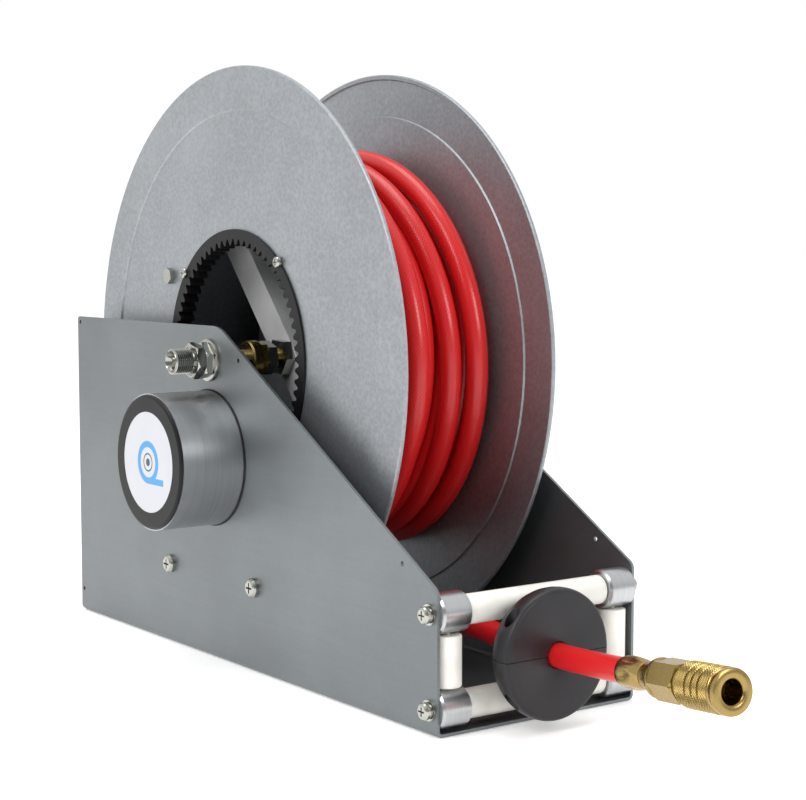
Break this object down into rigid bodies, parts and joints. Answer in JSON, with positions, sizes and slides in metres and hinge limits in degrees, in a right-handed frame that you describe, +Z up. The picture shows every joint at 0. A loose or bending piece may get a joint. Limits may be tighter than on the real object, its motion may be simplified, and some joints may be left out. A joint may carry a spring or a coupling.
{
  "type": "spring-rewind hose reel",
  "caption": "Spring-rewind hose reel: folded frame, flanged drum with a geared speed brake, swivel inlet, red hose, roller guide, hose stop and quick coupler.",
  "frame": {"origin": "centre of the four mounting holes in the base, on its underside", "axes": "+Z up, drum axis along X, hose leaves towards -Y"},
  "size_m": [0.2785, 0.8334, 0.518],
  "materials": {
    "zinc_sheet": "zinc-plated sheet steel, satin",
    "flange_sheet": "satin metallic grey with a fine grain",
    "black_casting": "black oxide, semi-matte",
    "fastener_steel": "bright zinc-plated",
    "turned_steel": "turned and zinc-plated",
    "bracket_paint": "light grey, satin",
    "brass": "machined brass",
    "bright_aluminium": "finely brushed",
    "roller_plastic": "white nylon, semi-gloss",
    "stop_rubber": "moulded black, semi-matte",
    "red_hose": "red, fine spiral weave under a semi-gloss skin",
    "label_white": "plain printed disc, semi-gloss"
  },
  "bodies": {
    "frame": {"frame_channel": "zinc_sheet", "side_straps": "zinc_sheet", "strap_screws": "fastener_steel", "frame_nuts": "fastener_steel", "inlet_fitting": "turned_steel", "inlet_washer": "turned_steel", "inlet_locknut": "turned_steel", "main_axle": "turned_steel", "axle_bolts": "fastener_steel", "latch_bracket": "turned_steel", "plate_screws": "fastener_steel", "brake_canister": "bright_aluminium", "brake_cap": "black_casting", "face_disc": "label_white", "brake_base": "black_casting", "shaft_bearings": "turned_steel", "brake_liner": "stop_rubber", "cross_shafts": "turned_steel", "corner_collars": "bright_aluminium", "guide_posts": "turned_steel", "guide_screws": "fastener_steel", "guide_washers": "fastener_steel", "hose_lead": "red_hose", "upper_stop_half": "stop_rubber", "lower_stop_half": "stop_rubber", "stop_screws": "fastener_steel", "ferrule": "brass", "coupler_body": "brass"},
    "drum": {"swivel_body": "brass", "swivel_nuts": "turned_steel", "spider_bracket": "bracket_paint", "outlet_elbow": "turned_steel", "hose_tail": "red_hose", "left_flange": "flange_sheet", "right_flange": "flange_sheet", "barrel": "flange_sheet", "end_plate": "flange_sheet", "ring_gear": "black_casting", "ring_screws": "fastener_steel", "drum_bolts": "fastener_steel", "drum_nuts": "fastener_steel", "spring_case": "flange_sheet", "drum_bushes": "brass", "drum_hub": "turned_steel", "motor_screws": "fastener_steel", "power_spring": "turned_steel", "ratchet_ring": "black_casting", "hose_coil": "red_hose"},
    "brake_rotor": {"brake_shaft": "turned_steel", "brake_pinion": "turned_steel", "shoe_carrier": "turned_steel"},
    "brake_shoe_1": {"brake_shoe_1": "bright_aluminium"},
    "brake_shoe_2": {"brake_shoe_2": "bright_aluminium"},
    "brake_shoe_3": {"brake_shoe_3": "bright_aluminium"},
    "latch_pawl": {"latch_pawl": "turned_steel"},
    "top_roller": {"top_roller": "roller_plastic"},
    "bottom_roller": {"bottom_roller": "roller_plastic"},
    "left_side_roller": {"left_side_roller": "roller_plastic"},
    "right_side_roller": {"right_side_roller": "roller_plastic"},
    "coupler_sleeve": {"coupler_sleeve": "brass"}
  },
  "joints": [
    {"name": "drum_spin", "type": "hinge", "parent": "frame", "child": "drum", "pos_m": [0, 0.036, 0.263], "axis": [1, 0, 0], "continuous": true},
    {"name": "brake_spin", "type": "hinge", "parent": "frame", "child": "brake_rotor", "pos_m": [0, 0.036, 0.1775], "axis": [1, 0, 0], "continuous": true},
    {"name": "shoe_1_swing", "type": "hinge", "parent": "brake_rotor", "child": "brake_shoe_1", "pos_m": [-0.126, 0.036, 0.2115], "axis": [-1, 0, 0], "range_deg": [0, 1.2], "stiffness_Nm_per_rad": 1, "springref_deg": -17.19},
    {"name": "shoe_2_swing", "type": "hinge", "parent": "brake_rotor", "child": "brake_shoe_2", "pos_m": [-0.126, 0.00656, 0.1605], "axis": [-1, 0, 0], "range_deg": [0, 1.2], "stiffness_Nm_per_rad": 1, "springref_deg": -17.19},
    {"name": "shoe_3_swing", "type": "hinge", "parent": "brake_rotor", "child": "brake_shoe_3", "pos_m": [-0.126, 0.06545, 0.1605], "axis": [-1, 0, 0], "range_deg": [0, 1.2], "stiffness_Nm_per_rad": 1, "springref_deg": -17.19},
    {"name": "latch_swing", "type": "hinge", "parent": "frame", "child": "latch_pawl", "pos_m": [0.085, 0.096, 0.163], "axis": [1, 0, 0], "range_deg": [-14, 12], "stiffness_Nm_per_rad": 0.1},
    {"name": "top_roller_spin", "type": "hinge", "parent": "frame", "child": "top_roller", "pos_m": [0, -0.2845, 0.0915], "axis": [1, 0, 0], "continuous": true},
    {"name": "bottom_roller_spin", "type": "hinge", "parent": "frame", "child": "bottom_roller", "pos_m": [0, -0.2845, 0.0195], "axis": [1, 0, 0], "continuous": true},
    {"name": "left_roller_spin", "type": "hinge", "parent": "frame", "child": "left_side_roller", "pos_m": [-0.0825, -0.2845, 0.0555], "axis": [0, 0, 1], "continuous": true},
    {"name": "right_roller_spin", "type": "hinge", "parent": "frame", "child": "right_side_roller", "pos_m": [0.0825, -0.2845, 0.0555], "axis": [0, 0, 1], "continuous": true},
    {"name": "sleeve_slide", "type": "slide", "parent": "frame", "child": "coupler_sleeve", "axis": [0.1727, 0.9794, -0.1045], "range_m": [0, 0.0045], "stiffness_N_per_m": 400, "springref_m": -0.006}
  ],
  "couplings": [
    {"joint": "brake_spin", "follows": "drum_spin", "ratio": 6.1818}
  ]
}
